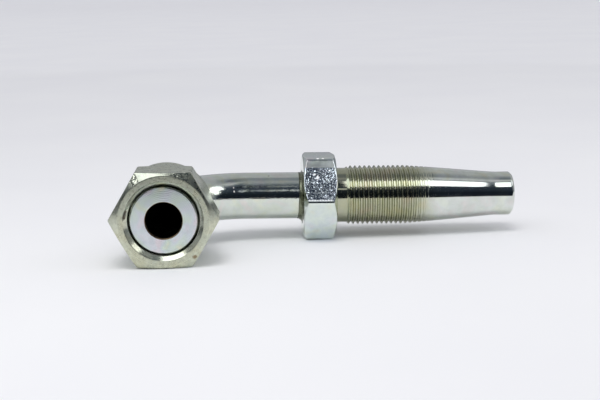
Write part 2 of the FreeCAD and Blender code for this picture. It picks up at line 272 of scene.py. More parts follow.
# Brightness of the tent by height above the horizon in degrees, behind and in front of the fitting.
# In front it is dimmer high at the right, apart from one soft glow there.
TENT_RADIUS = 0.9
HEIGHTS = (-90, -8, 4, 12, 18, 28, 40, 54, 60, 66, 70, 76, 82, 90)
BEHIND = (0.26, 0.26, 0.26, 0.50, 0.50, 0.50, 0.46, 0.47, 0.47, 0.44, 0.30, 0.28, 0.30, 0.335)
AHEAD = (0.02, 0.02, 0.025, 0.018, 0.03, 0.045, 0.065, 0.09, 0.11, 0.16, 0.26, 0.33, 0.365, 0.335)
FRONT_FROM, FRONT_WIDTH = 0.05, 0.40
RIGHT_LOSS, RIGHT_FROM, RIGHT_WIDTH, HIGH_FROM, HIGH_WIDTH = 0.3, 0.08, 0.2, 50, 15
HALO, HALO_RISE, HALO_TALL, HALO_TURN, HALO_WIDE = 0.45, 66, 11, 68, 18


def tent_points(rise, turn):
    """A ball: radius times (cos rise sin turn, -cos rise cos turn, sin rise)."""
    level = np.cos(rise)
    return TENT_RADIUS * np.stack([level * np.sin(turn), -level * np.cos(turn), np.sin(rise)], -1)


def tent_glow(rise, turn):
    """Brightness of the ball: the two tables by height, with a smooth step 3 f f - 2 f f f between them,
    less up to 0.3 of that where it is both high and at the right, plus a bell curve about the halo."""
    height = np.degrees(rise)
    forward = np.clip((np.cos(turn) - FRONT_FROM) / FRONT_WIDTH, 0, 1)
    forward = forward * forward * (3 - 2 * forward)
    plain = np.interp(height, HEIGHTS, AHEAD) * forward + np.interp(height, HEIGHTS, BEHIND) * (1 - forward)
    rightward = np.clip((np.cos(rise) * np.sin(turn) - RIGHT_FROM) / RIGHT_WIDTH, 0, 1)
    loss = RIGHT_LOSS * rightward * np.clip((height - HIGH_FROM) / HIGH_WIDTH, 0, 1)
    from_halo = ((height - HALO_RISE) / HALO_TALL) ** 2 + ((np.degrees(turn) - HALO_TURN) / HALO_WIDE) ** 2
    return plain * (1 - loss) + HALO * np.exp(-from_halo)


ball_rise, ball_turn = np.radians(np.linspace(-90, 90, 91)), np.radians(np.linspace(-180, 180, 121))
rise, turn = np.meshgrid(ball_rise, ball_turn, indexing="ij")
only_in_metal("tent", sheet_mesh("tent", tent_points(rise, turn)), tent_glow(rise, turn))

# Dark card that lies on the front of the table and darkens what the lower sides see of it.
CARD_REACH, CARD_EDGE, CARD_LIFT, CARD_GLOW = 0.8, -0.145, 0.0002, 0.012
side, ahead = np.meshgrid(np.linspace(-CARD_REACH, CARD_REACH, 3), np.linspace(-CARD_REACH, CARD_EDGE, 3))
floor_card = np.stack([side, ahead, table_height(side) + CARD_LIFT], -1)
only_in_metal("dark_card", sheet_mesh("dark_card", floor_card), np.full(9, CARD_GLOW))

# Seat sleeve. A turned steel sleeve with the flat sealing face, brazed on the tube's end, zinc plated
# and passivated clear: pale, with fine circles from the tool and faint blue, pink and straw patches.
SEAT_RADIUS, SEAT_END, SEAT_FLOOR, SEAT_SOCKET, BORE = 10.6, 8.0, 2.0, 8.05, 5.7
MOUTH_BREAK, FACE_BREAK, BACK_BREAK, SEAT_ROUNDING, SEAT_SEAM = 0.25, 0.35, 0.5, 0.12, 1.0
# Rows of faces, counted along the profile: bare bore, its edge, and from the end the socket's floor.
SEAT_BORE_ROWS, SEAT_EDGE_ROWS, SEAT_FLOOR_ROWS = 3, 11, 5


def eased(corners, reach, steps=3):
    """A polyline (..., corners, 2) with its inner corners rounded. Each is a quadratic Bezier curve
    between points that lie reach before and after the corner, at most 0.3 of the shorter side, and a
    point half as far again on each side keeps the flats flat."""
    corner, here = corners[..., 1:-1, :], np.asarray(reach, float)
    back, onward = corners[..., :-2, :] - corner, corners[..., 2:, :] - corner
    back_length, onward_length = np.linalg.norm(back, axis=-1), np.linalg.norm(onward, axis=-1)
    cut = np.minimum(here, 0.3 * np.minimum(back_length, onward_length))[..., None]
    back, onward = back / back_length[..., None] * cut, onward / onward_length[..., None] * cut
    t = np.linspace(0, 1, steps + 2)[:, None]
    curve = ((1 - t) ** 2 * (corner + back)[..., None, :] + 2 * t * (1 - t) * corner[..., None, :]
             + t ** 2 * (corner + onward)[..., None, :])
    before, after = (corner + 1.5 * back)[..., None, :], (corner + 1.5 * onward)[..., None, :]
    rounded = np.concatenate([before, curve, after], -2).reshape(*corners.shape[:-2], -1, 2)
    return np.concatenate([corners[..., :1, :], rounded, corners[..., -1:, :]], -2)


def turned(profile, angles, axis):
    """A profile carried round an axis: at each angle, distance along the axis and radius. The nut's
    axis runs along Y through the origin, the nipple's along X at y = 42 mm."""
    distance, radius = np.moveaxis(np.broadcast_to(profile, (len(angles), *profile.shape[-2:])), -1, 0)
    c, s = np.cos(angles)[:, None] * radius, np.sin(angles)[:, None] * radius
    points = (c, distance, s) if axis == "Y" else (distance, 42.0 + c, s)
    return np.stack(points, -1).swapaxes(0, 1) / 1000


def make_piece(name, points, material, body, node, closed=True, patches=()):
    """A piece from a grid of points (rows, columns, 3) in metres. The columns always join up, the rows
    do when closed, and otherwise each end has a pole. Faces are turned so that the volume is positive.
    patches are more materials, as (material, first row, last row, first column, last column)."""
    rows, columns = points.shape[:2]
    index = np.arange(rows * columns).reshape(rows, columns)
    below = np.concatenate([index, index[:1]]) if closed else index
    below = np.concatenate([below, below[:, :1]], 1)
    quads = np.stack([below[:-1, :-1], below[:-1, 1:], below[1:, 1:], below[1:, :-1]], -1)
    chosen = np.zeros(quads.shape[:2], np.int32)
    for number, (_, first, last, left, right) in enumerate(patches, start=1):
        chosen[first:last, left:right] = number
    quads, chosen = quads.reshape(-1, 4), chosen.ravel()
    vertices = points.reshape(-1, 3)
    a, b, c, d = np.moveaxis(vertices[quads], 1, 0)
    volume = np.einsum("ij,ij->", a, np.cross(b, c) + np.cross(c, d))
    faces = quads.tolist()
    if not closed:
        vertices = np.concatenate([vertices, [points[0].mean(0), points[-1].mean(0)]])
        pole = rows * columns
        faces += [[b, a, pole] for a, b in zip(below[0, :-1].tolist(), below[0, 1:].tolist())]
        faces += [[a, b, pole + 1] for a, b in zip(below[-1, :-1].tolist(), below[-1, 1:].tolist())]
        chosen = np.concatenate([chosen, np.zeros(2 * columns, np.int32)])
    if volume < 0:
        faces = [face[::-1] for face in faces]
    mesh = bpy.data.meshes.new(name)
    mesh.from_pydata(vertices, [], faces)
    mesh.polygons.foreach_set("use_smooth", np.ones(len(faces), bool))
    for finish in [material] + [patch[0] for patch in patches]:
        mesh.materials.append(finish)
    mesh.polygons.foreach_set("material_index", chosen)
    mesh.update()
    piece = bpy.data.objects.new(name, mesh)
    bpy.context.scene.collection.objects.link(piece)
    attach(piece, body)
    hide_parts(node)
    return piece


def plate(name, light, deep, tints, tint_share, rough, cloud, grain, grain_depth, marks=None,
          attribute=None, drawn=None, spots=(), until=None, facets=None):
    """Zinc plate over a tool's or a drawn surface. Colour runs between deep and light in clouds of
    cloud mm, under a thin passivated film whose tints drift over 7 mm. Roughness runs between the two
    values in rough. The bump is a grain of grain mm and grain_depth micrometres, with marks as (kind of
    band, direction, spacing in mm, depth in micrometres, waviness), and drawn as the width and length in
    mm and depth in micrometres of draw lines along Z. spots are small round marks of their own colour,
    which are stains, dark spots, painted highlights and painted reflections, as (centre in mm, radius in
    mm, colour), and until is (x, x, colour): that colour tints the plate below the first x in mm and is
    gone at the second. facets is the width in mm of crystals that each lean their own way, and how far
    they lean at most, as a slope. All coordinates are in mm, the piece's own or its attribute's."""
    material = bpy.data.materials.new(name)
    material.use_nodes = True
    tree = material.node_tree
    tree.nodes.clear()
    if attribute:
        source = add(tree, "ShaderNodeAttribute", attribute_name=attribute).outputs["Vector"]
    else:
        source = add(tree, "ShaderNodeTexCoord").outputs["Object"]
    mm = add(tree, "ShaderNodeMapping", {"Vector": source, "Scale": (1000, 1000, 1000)}).outputs["Vector"]
    clouds = add(tree, "ShaderNodeTexNoise",
                 {"Vector": mm, "Scale": 1 / cloud, "Detail": 4.0, "Roughness": 0.6})
    body = add(tree, "ShaderNodeValToRGB", {"Fac": clouds.outputs["Fac"]},
               ramp=[(0.35, deep), (0.65, light)])
    drift = add(tree, "ShaderNodeTexNoise",
                {"Vector": mm, "Scale": 1 / 7, "Detail": 2.0, "Distortion": 0.6})
    film = add(tree, "ShaderNodeValToRGB", {"Fac": drift.outputs["Fac"]}, ramp=tints)
    colour = add(tree, "ShaderNodeMix",
                 {0: tint_share, 6: body.outputs["Color"], 7: film.outputs["Color"]},
                 data_type="RGBA", blend_type="MULTIPLY").outputs[2]
    if until:
        split = add(tree, "ShaderNodeSeparateXYZ", {"Vector": mm})
        share = add(tree, "ShaderNodeMapRange",
                    {"Value": split.outputs["X"], "From Min": until[0], "From Max": until[1],
                     "To Min": 1.0, "To Max": 0.0})
        colour = add(tree, "ShaderNodeMix", {0: share.outputs["Result"], 6: colour, 7: linear(until[2])},
                     data_type="RGBA", blend_type="MULTIPLY").outputs[2]
    metallic = 1.0
    for centre, radius, spot_colour in spots:
        ragged = add(tree, "ShaderNodeTexNoise", {"Vector": mm, "Scale": 1.6 / radius, "Detail": 2.0})
        apart = add(tree, "ShaderNodeVectorMath", {0: mm, 1: centre}, operation="DISTANCE")
        edge = add(tree, "ShaderNodeMath",
                   {0: ragged.outputs["Fac"], 1: radius, 2: apart.outputs["Value"]},
                   operation="MULTIPLY_ADD")
        share = add(tree, "ShaderNodeMapRange",
                    {"Value": edge.outputs["Value"], "From Min": 1.0 * radius, "From Max": 1.6 * radius,
                     "To Min": 1.0, "To Max": 0.0})
        colour = add(tree, "ShaderNodeMix", {0: share.outputs["Result"], 6: colour, 7: linear(spot_colour)},
                     data_type="RGBA").outputs[2]
        metallic = add(tree, "ShaderNodeMath", {0: metallic, 1: share.outputs["Result"]},
                       operation="SUBTRACT", use_clamp=True).outputs["Value"]
    wear = add(tree, "ShaderNodeMapRange",
               {"Value": clouds.outputs["Fac"], "From Min": 0.3, "From Max": 0.7,
                "To Min": rough[0], "To Max": rough[1]})
    fine = add(tree, "ShaderNodeTexNoise", {"Vector": mm, "Scale": 1 / grain, "Detail": 2.0})
    bump = add(tree, "ShaderNodeBump", {"Height": fine.outputs["Fac"], "Distance": grain_depth * 1e-6})
    if marks:
        kind, direction, spacing, depth, wavy = marks
        way = "rings_direction" if kind == "RINGS" else "bands_direction"
        tool = add(tree, "ShaderNodeTexWave",
                   {"Vector": mm, "Scale": np.pi / 10 / spacing, "Distortion": wavy,
                    "Detail": 2.0, "Detail Scale": 1.5}, wave_type=kind, **{way: direction})
        bump = add(tree, "ShaderNodeBump", {"Height": tool.outputs["Fac"], "Distance": depth * 1e-6,
                                            "Normal": bump.outputs["Normal"]})
    if drawn:
        wide, long, depth = drawn
        long_way = add(tree, "ShaderNodeMapping", {"Vector": mm, "Scale": (1 / wide, 1 / wide, 1 / long)})
        lines = add(tree, "ShaderNodeTexNoise",
                    {"Vector": long_way.outputs["Vector"], "Scale": 1.0, "Detail": 2.0})
        bump = add(tree, "ShaderNodeBump", {"Height": lines.outputs["Fac"], "Distance": depth * 1e-6,
                                            "Normal": bump.outputs["Normal"]})
    normal = bump.outputs["Normal"]
    if facets:
        wide, steep = facets
        cells = add(tree, "ShaderNodeTexVoronoi", {"Vector": mm, "Scale": 1 / wide})
        lean = add(tree, "ShaderNodeVectorMath", {0: cells.outputs["Color"], 1: (0.5, 0.5, 0.5)},
                   operation="SUBTRACT")
        tilted = add(tree, "ShaderNodeVectorMath",
                     {0: lean.outputs["Vector"], 1: (2 * steep, 2 * steep, 2 * steep), 2: normal},
                     operation="MULTIPLY_ADD")
        normal = add(tree, "ShaderNodeVectorMath", {0: tilted.outputs["Vector"]},
                     operation="NORMALIZE").outputs["Vector"]
    metal = add(tree, "ShaderNodeBsdfPrincipled",
                {"Base Color": colour, "Metallic": metallic, "Roughness": wear.outputs["Result"],
                 "Normal": normal})
    add(tree, "ShaderNodeOutputMaterial", {"Surface": metal.outputs["BSDF"]})
    return material


# Passivated films: faint straw, green, blue and pink on bright zinc, a little stronger on the seat.
PASSIVATED = [(0.30, "#f4f0dc"), (0.42, "#eff6ec"), (0.54, "#ecf2f4"), (0.68, "#f6ecf0")]
SEAT_FILM = [(0.30, "#f6f0da"), (0.42, "#e6f3ea"), (0.54, "#e6ecf8"), (0.68, "#f3e6f2")]
# A faced end: pale satin with fine circles. The tool's real rings are about 0.1 mm apart, too fine to
# show here, so they are drawn 0.55 mm apart.
faced_zinc = plate("faced_zinc_clear_passivated", "#eef0ea", "#d8dbd6", SEAT_FILM, 0.9, (0.16, 0.24),
                   3.0, 0.25, 1.5, ("RINGS", "Y", 0.55, 3.0, 0.9))
# The bore's edge, where the plate is thin and the steel has stained: a narrow brown line.
bore_edge = plate("brown_edge_of_bore", "#9a8262", "#5c4630", PASSIVATED, 0.2, (0.35, 0.5), 1.0, 0.3, 3.0)
# Inside the bores and sockets: dull unplated steel, painted much darker than bare steel as shade for the
# recesses.
shaded_bore_steel = plate("dark_bore_metal_painted_shade", "#55524c", "#2e2b27", PASSIVATED, 0.3, (0.45, 0.6), 2.0, 0.3, 4.0)

seat_angles = np.radians(np.arange(0, 360, 3.0))
seat_corners = [(SEAT_SEAM, BORE), (MOUTH_BREAK, BORE), (0.0, BORE + MOUTH_BREAK),
                (0.0, SEAT_RADIUS - FACE_BREAK), (FACE_BREAK, SEAT_RADIUS),
                (SEAT_END - BACK_BREAK, SEAT_RADIUS), (SEAT_END, SEAT_RADIUS - BACK_BREAK),
                (SEAT_END, SEAT_SOCKET), (SEAT_FLOOR, SEAT_SOCKET), (SEAT_FLOOR, BORE),
                (SEAT_SEAM + 0.1, BORE)]
seat_profile = eased(np.array(seat_corners), SEAT_ROUNDING)
seat_rows = len(seat_profile)
make_piece("seat_face_sleeve", turned(seat_profile, seat_angles, "Y"), faced_zinc,
           "fitting", "seat_sleeve",
           patches=[(shaded_bore_steel, 0, SEAT_BORE_ROWS, 0, None),
                    (bore_edge, SEAT_BORE_ROWS, SEAT_EDGE_ROWS, 0, None),
                    (shaded_bore_steel, seat_rows - SEAT_FLOOR_ROWS, seat_rows, 0, None)])

# Elbow tube. Seamless steel tube bent cold through a right angle and zinc plated: nearly a mirror,
# with fine draw lines along it that follow the bend.
TUBE_OUTER, BEND, TUBE_START, NIPPLE_AXIS, TUBE_END = 8.0, 27.0, 2.0, 42.0, 52.4
END_LENGTH, END_ROUNDING, RUN_FROM, OUTER_RINGS, INNER_RINGS = 8.0, 0.3, 9.0, 110, 70
# A dark speck, and two pale dots that are painted highlights of lamps in the bend, as (place round the tube
# and along it in mm, radius in mm, colour).
TUBE_SPECK_AND_GLINTS = [((-3.12, 7.36, 62.2), 0.35, "#4a4a46"), ((-7.44, 2.93, 48.3), 0.38, "#f4f4f0"),
               ((-6.86, 4.12, 48.3), 0.26, "#e4e4e0")]


def bent_path(distance):
    """Centre line of the tube in mm: straight along Y to y = 15, a quarter circle of 27 mm radius
    about (27, 15), then straight along X at y = 42. Gives the point and the outward side direction."""
    straight, quarter = NIPPLE_AXIS - BEND - TUBE_START, BEND * np.pi / 2
    angle = np.clip((distance - straight) / BEND, 0, np.pi / 2)
    before, after = np.minimum(distance - straight, 0), np.maximum(distance - straight - quarter, 0)
    x = BEND - BEND * np.cos(angle) + after
    y = NIPPLE_AXIS - BEND + BEND * np.sin(angle) + before
    zero = np.zeros_like(distance)
    return np.stack([x, y, zero], -1), np.stack([-np.cos(angle), np.sin(angle), zero], -1)


tube_length = (NIPPLE_AXIS - BEND - TUBE_START) + BEND * np.pi / 2 + (TUBE_END - BEND)
end_corners = [(END_LENGTH, TUBE_OUTER), (0.0, TUBE_OUTER), (0.0, BORE), (END_LENGTH, BORE)]
ends = eased(np.array(end_corners), END_ROUNDING)
near_end = ends[::-1]
far_end = np.stack([tube_length - ends[:, 0], ends[:, 1]], -1)
outer_run = np.linspace(RUN_FROM, tube_length - RUN_FROM, OUTER_RINGS)
inner_run = np.linspace(tube_length - RUN_FROM, RUN_FROM, INNER_RINGS)
outer_wall = np.stack([outer_run, np.full(OUTER_RINGS, TUBE_OUTER)], -1)
inner_wall = np.stack([inner_run, np.full(INNER_RINGS, BORE)], -1)
tube_profile = np.concatenate([near_end, outer_wall, far_end, inner_wall])
tube_angles = np.radians(np.arange(0, 360, 3.0))
centre, side_way = bent_path(tube_profile[:, 0])
wall = tube_profile[:, 1][:, None, None]
round_tube = (np.cos(tube_angles)[None, :, None] * side_way[:, None]
              + np.sin(tube_angles)[None, :, None] * np.array([0, 0, 1.0]))
# Thin bright zinc over drawn steel: dark and light bands almost as sharp as in a mirror, roughened by
# the draw lines. Real ones are a few hundredths of a millimetre wide, and are drawn 0.35 mm wide.
drawn_zinc = plate("drawn_tube_bright_zinc", "#eaece4", "#e0e3da", PASSIVATED, 0.6, (0.07, 0.10),
                   4.0, 0.35, 1.6, attribute="straight", drawn=(0.35, 0.9, 24.0), spots=TUBE_SPECK_AND_GLINTS)
tube = make_piece("bent_elbow_tube", (centre[:, None] + wall * round_tube) / 1000, drawn_zinc,
                  "fitting", "elbow_tube",
                  patches=[(shaded_bore_steel, len(near_end) + OUTER_RINGS + len(far_end) - 2,
                            len(tube_profile), 0, None)])
# The same tube unbent, so that its pattern follows the bend.
unbent = np.broadcast_arrays(wall[..., 0] * np.cos(tube_angles), wall[..., 0] * np.sin(tube_angles),
                             tube_profile[:, 0][:, None])
straight = tube.data.attributes.new("straight", "FLOAT_VECTOR", "POINT").data
straight.foreach_set("vector", (np.stack(unbent, -1) / 1000).ravel().astype(np.float32))

# Braze fillets. Brass filler drawn into the two sockets, with a hollow bead round the tube. It is
# plated with the rest, but stays rough and olive where flux etched it.
SAG, RIPPLE, RIPPLES = 0.24, 0.04, 5
# For each node the axis, the place of the face that it fills, and its size along the axis in mm.
FILLETS = {"seat_braze": ("Y", 8.0, 1.4), "nipple_braze": ("X", 45.4, -1.9)}
# Zinc on etched brass: a dull olive satin that takes no clear reflection.
etched_braze = plate("etched_braze_under_zinc", "#8f9383", "#757969",
                     [(0.3, "#f2efdc"), (0.7, "#e8eede")], 0.6, (0.22, 0.32), 2.0, 0.5, 2.0)


def bead(angles, root, size, seed):
    """Profile of a hollow fillet: a quarter circle, tangent to the tube and to the face at root, closed
    inside the metal. Its radius is size times 1 - 0.24 (1 + sin a) - 0.04 (1 + sin(5 a + seed)), so it
    sags to about twice as much below as above, with a slow ripple round the tube."""
    sweep = np.linspace(0, np.pi / 2, 9)
    uneven = 1 - SAG * (1 + np.sin(angles)) - RIPPLE * (1 + np.sin(RIPPLES * angles + seed))
    reach = abs(size) * uneven[:, None]
    away = root + np.sign(size) * reach * (1 - np.sin(sweep))
    high = TUBE_OUTER + reach * (1 - np.cos(sweep))
    hidden = np.array([root + 0.02 * np.sign(size), root + 0.7 * size])
    inside = np.stack(np.broadcast_arrays(hidden, np.full((len(angles), 2), TUBE_OUTER + 0.01)), -1)
    return np.concatenate([np.stack([away, high], -1), inside], 1)


bead_angles = np.radians(np.arange(0, 360, 3.0))
for number, (node, (axis, root, size)) in enumerate(FILLETS.items()):
    fillet = turned(bead(bead_angles, root, size, number), bead_angles, axis)
    make_piece(node + "_bead", fillet, etched_braze, "fitting", node)

# Retaining wire. A split ring of hard round spring wire, sprung into the nut's groove, where it stops
# the nut from coming off over the sleeve. Plated with the nut.
WIRE_RING, WIRE_HALF, WIRE_PLACE, WIRE_FROM, WIRE_TURN = 11.0, 1.0, 17.3, 98.0, 344.0
# Length of the dome on each end in mm, and the share of the wire that is divided finely for it.
DOME, DOME_RUN = 0.4, 0.006
# Zinc on drawn wire: an even dull grey, seen only from behind.
spring_zinc = plate("drawn_spring_wire_zinc", "#c9cdcc", "#9fa3a0", PASSIVATED, 0.6, (0.25, 0.4),
                    1.5, 0.2, 2.0)


def wire_points(run, turn):
    """A bent rod: a circle of the wire's radius carried round the ring, drawn in to a blunt dome over
    the last 0.4 mm of each end, as a quarter circle. run goes from 0 to 1 along the wire."""
    length = np.radians(WIRE_TURN) * WIRE_RING
    from_end = np.clip(np.minimum(run, 1 - run) * length / DOME, 0, 1)
    thick = WIRE_HALF * np.sqrt(np.clip(1 - (1 - from_end) ** 2, 0.0025, 1))
    swing = np.radians(WIRE_FROM + WIRE_TURN * run)
    ring = WIRE_RING + thick * np.cos(turn)
    points = (ring * np.cos(swing), WIRE_PLACE + thick * np.sin(turn), ring * np.sin(swing))
    return np.stack(points, -1) / 1000


run = np.concatenate([np.linspace(0, DOME_RUN, 7)[:-1], np.linspace(DOME_RUN, 1 - DOME_RUN, 150),
                      np.linspace(1 - DOME_RUN, 1, 7)[1:]])
run, turn = np.meshgrid(run, np.radians(np.arange(0, 360, 15)), indexing="ij")
make_piece("spring_wire_ring", wire_points(run, turn), spring_zinc,
           "wire", "retaining_wire", closed=False)

# Swivel nut. Turned from 30 mm hexagon steel bar, with a round collar behind, a countersunk mouth and
# an M24 x 1.5 thread. It is loose on the tube. Barrel plated, so it is duller and greyer than the tube,
# with an olive cast.
NUT_FLATS, NUT_EASE, NUT_FACE, HEX_END, NUT_END, COLLAR = 30.0, 0.7, -1.1, 14.6, 23.2, 14.9
MOUTH, MINOR, MAJOR, PITCH, NUT_BORE = 12.6, 11.19, 12.0, 1.5, 10.9
RING, REAR_RING, NUT_BREAK, NUT_ROUNDING = 14.2, 14.95, 0.5, 0.15
GROOVE_BACK, GROOVE_FRONT, GROOVE_RADIUS = 18.65, 16.0, 12.3
RELIEF_BACK, RELIEF_FRONT, RELIEF_RADIUS, THREAD_END = 13.8, 11.6, 12.2, 11.4
THREAD_STEPS, THREAD_PHASE, RUN_IN_FROM, RUN_IN, SINK_END = 14, 0.30, 0.3, 1.2, 0.35
THIRTY = np.tan(np.pi / 6)
# A dent in the countersink: place and half width in degrees, place along the axis from the nut's
# face, lean per degree, half height and depth in mm.
NOTCH_TURN, NOTCH_WIDE, NOTCH_PLACE, NOTCH_LEAN, NOTCH_TALL, NOTCH_DEEP = 169, 7, 0.75, 0.06, 0.45, 0.7
# Rows of faces along the profile, and columns round it: the front face with the ring, the chamfer
# behind it, and the chamfer's upper right and upper left corners.
FACE_ROWS, CHAMFER_ROWS, UPPER_RIGHT, UPPER_LEFT = (0, 14), (13, 17), (13, 22), (33, 38)


def hexagon(flats, ease, side_steps=13, corner_steps=5):
    """Angles and radii round a hexagon that lies on a flat. A sixth is a straight side at half the flats,
    then an arc of radius ease about (half - ease, (half - ease) tan 30), and it repeats every 60
    degrees."""
    half = flats / 2
    end = (half - ease) * THIRTY
    straight = np.linspace(-end, end, side_steps)
    bend = np.linspace(0, np.pi / 3, corner_steps + 2)[1:-1]
    sixth = np.concatenate([np.stack([np.full(side_steps, half), straight], -1),
                            np.stack([half - ease + ease * np.cos(bend), end + ease * np.sin(bend)], -1)])
    angle, radius = np.arctan2(sixth[:, 1], sixth[:, 0]), np.hypot(sixth[:, 0], sixth[:, 1])
    turns = np.radians(30 + 60 * np.arange(6))
    return (turns[:, None] + angle).ravel(), np.tile(radius, 6)


def groove(phase, depth, flank=0.36, e=0.3):
    """Depth of a thread groove in mm at a phase in turns: a flat of 0.28 pitches at the root, flanks of
    0.36 pitches that rise to the next crest, where t is 0, and a crest rounded as a hyperbola,
    sqrt(t t + e e) - e, scaled so that t = 1 gives the full depth."""
    gap = np.abs((phase % 1) - 0.5)
    t = np.clip((0.5 - gap) / flank, 0, 1)
    return depth * (np.sqrt(t * t + e * e) - e) / (np.sqrt(1 + e * e) - e)


def rows(count, *corners):
    """Corners of a profile, each value one number or one per angle, as an array (count, corners, 2)."""
    flat = [np.stack(np.broadcast_arrays(*pair, np.zeros(count))[:2], -1) for pair in corners]
    return np.stack(flat, 1)


nut_angles, nut_edge = hexagon(NUT_FLATS, NUT_EASE)
outside = eased(rows(
    nut_angles.size, (NUT_FACE, MOUTH + 0.02), (NUT_FACE, MOUTH + 0.12), (NUT_FACE, RING),
    (NUT_FACE + (nut_edge - RING) * THIRTY, nut_edge),
    (HEX_END - (nut_edge - REAR_RING) * THIRTY, nut_edge), (HEX_END, REAR_RING), (HEX_END, COLLAR),
    (NUT_END - NUT_BREAK, COLLAR), (NUT_END, COLLAR - NUT_BREAK), (NUT_END, NUT_BORE + NUT_BREAK),
    (NUT_END - NUT_BREAK, NUT_BORE), (GROOVE_BACK, NUT_BORE), (GROOVE_BACK, GROOVE_RADIUS),
    (GROOVE_FRONT, GROOVE_RADIUS), (GROOVE_FRONT, NUT_BORE), (RELIEF_BACK, NUT_BORE),
    (RELIEF_BACK - 0.05, RELIEF_RADIUS), (RELIEF_FRONT, RELIEF_RADIUS),
    (RELIEF_FRONT - 0.15, RELIEF_RADIUS - 0.1)), NUT_ROUNDING)
# The thread turns right-handed, runs in from nothing behind the countersink, which is a 45 degree cone,
# and the notch is cut as a product of two parabolas.
thread_run = np.arange(THREAD_END, NUT_FACE, -PITCH / THREAD_STEPS)[None, :]
helix = (np.arctan2(np.cos(nut_angles), np.sin(nut_angles)) / (2 * np.pi))[:, None]
run_in = np.clip((thread_run - RUN_IN_FROM) / RUN_IN, 0, 1)
sink = MOUTH - (thread_run - NUT_FACE)
thread_cut = groove(thread_run / PITCH - helix + THREAD_PHASE, MAJOR - MINOR)
thread_radius = np.maximum(MINOR + run_in * thread_cut, sink)
from_notch = np.degrees(np.angle(np.exp(1j * (nut_angles - np.radians(NOTCH_TURN)))))[:, None]
notch_height = (thread_run - (NUT_FACE + NOTCH_PLACE - NOTCH_LEAN * from_notch)) / NOTCH_TALL
notch = np.clip(1 - (from_notch / NOTCH_WIDE) ** 2, 0, 1) * np.clip(1 - notch_height ** 2, 0, 1)
thread_radius = thread_radius + NOTCH_DEEP * notch
inside = np.stack([np.broadcast_to(thread_run, thread_radius.shape), thread_radius], -1)
nut_profile = np.concatenate([outside, inside], 1)

# A thicker straw and green film than on the tube, a rust spot, and three dark spots in the notch.
NUT_FILM = [(0.30, "#eeebd8"), (0.5, "#e8eae0"), (0.7, "#e0e5e0")]
NUT_SPOTS = [((9.5, -0.6, -11.4), 0.9, "#8a7a5a"), ((-11.7, -0.3, 3.0), 0.8, "#4a4232"),
             ((-11.95, -0.4, 2.1), 0.9, "#3a3428"), ((-12.2, -0.6, 1.2), 0.8, "#4a4232")]
# Drawn bar, tumbled and barrel plated: dull grey with soft pits, drawn coarser than the real ones.
nut_plate = plate("barrel_zinc_on_turned_hexagon", "#e4e6d9", "#c9cbbd", NUT_FILM, 0.8, (0.25, 0.34),
                  1.6, 0.5, 22.0, spots=NUT_SPOTS)
# The faced ring: the same, with circles from the tool. Real ones are about 0.15 mm apart, too fine to
# show here, so they are drawn 0.40 mm apart.
nut_face_plate = plate("barrel_zinc_faced_ring", "#e8eadb", "#d0d2c2", NUT_FILM, 0.8, (0.25, 0.32),
                       1.2, 0.45, 14.0, ("RINGS", "Y", 0.40, 11.0, 1.2), spots=NUT_SPOTS)
# The countersink, cut by a finer tool: brighter, with streaks of the lamps.
sink_plate = plate("zinc_on_turned_countersink", "#e4e6d9", "#cdcfc1", NUT_FILM, 0.8, (0.14, 0.21),
                   1.2, 0.4, 8.0, spots=NUT_SPOTS)
# The chamfer where the tool tore the steel: small facets that catch the light one by one.
torn_plate = plate("zinc_on_torn_chamfer", "#e4e6d9", "#b9bbae", NUT_FILM, 0.8, (0.16, 0.26),
                   0.8, 0.35, 30.0, facets=(0.34, 0.13))
nut_rows, sink_rows = nut_profile.shape[1], int(np.sum(thread_run < SINK_END))
make_piece("swivel_nut_body", turned(nut_profile, nut_angles, "Y"), nut_plate,
           "nut", "swivel_nut",
           patches=[(nut_face_plate, *FACE_ROWS, 0, None), (torn_plate, *CHAMFER_ROWS, *UPPER_RIGHT),
                    (torn_plate, *CHAMFER_ROWS, *UPPER_LEFT),
                    (sink_plate, nut_rows - sink_rows, nut_rows - 1, 0, None)])

# Hose nipple. Turned from 28 mm hexagon steel bar and brazed to the tube: a hexagon with the bar's
# grainy skin, a neck, a holding thread that runs out on a long taper, and a polished nose with an end
# land that the hose grips. Bright zinc plated.
NIPPLE_FLATS, NIPPLE_EASE, NIPPLE_RING, NECK, CREST, ROOT = 28.0, 1.5, 13.7, 9.4, 10.2, 9.4
NEAR_FACE, FAR_FACE, THREAD_START, TAPER, NOSE_END, LAND = 45.4, 56.7, 60.2, 80.25, 118.5, 7.6
HOSE_PITCH, HOSE_STEPS, LEAD_IN, THREAD_STOP, LAND_START = 1.66, 16, 1.4, 91.5, 112.6
TAPER_FROM, WAIST, WAIST_DEEP, LAND_FROM = 92.0, 111.6, 0.05, 113.4
OUTER_BREAK, INNER_BREAK, SOCKET_FLOOR, SEAM = 0.8, 0.5, 52.4, 50.0
HEX_ROUNDINGS, NOSE_ROUNDINGS = (0.1, 0.15, 0.2, 0.2, 0.15, 0.3), (0.6, 0.6, 0.3, 0.3, 0.1, 0.1, 0.1, 0.1)
# Rows of faces along the profile, and columns round it: the flats, the upper front flat's plain edge
# and the rest of it, the hexagon's last rows that are polished, and from the end the rim and the bore.
FLAT_ROWS, EDGE_COLUMNS, GRAINED_COLUMNS = (15, 22), (36, 38), (38, 48)
POLISHED_ROWS, RIM_ROWS, NIPPLE_BORE_ROWS = 5, 33, 26

hex_angles, hex_edge = hexagon(NIPPLE_FLATS, NIPPLE_EASE)
hex_run = eased(rows(
    hex_angles.size, (SEAM, SEAT_SOCKET), (NEAR_FACE, SEAT_SOCKET), (NEAR_FACE, NIPPLE_RING),
    (NEAR_FACE + (hex_edge - NIPPLE_RING) * THIRTY, hex_edge),
    (FAR_FACE - (hex_edge - NIPPLE_RING) * THIRTY, hex_edge), (FAR_FACE, NIPPLE_RING),
    (FAR_FACE, NECK), (THREAD_START - 0.1, NECK)), HEX_ROUNDINGS)
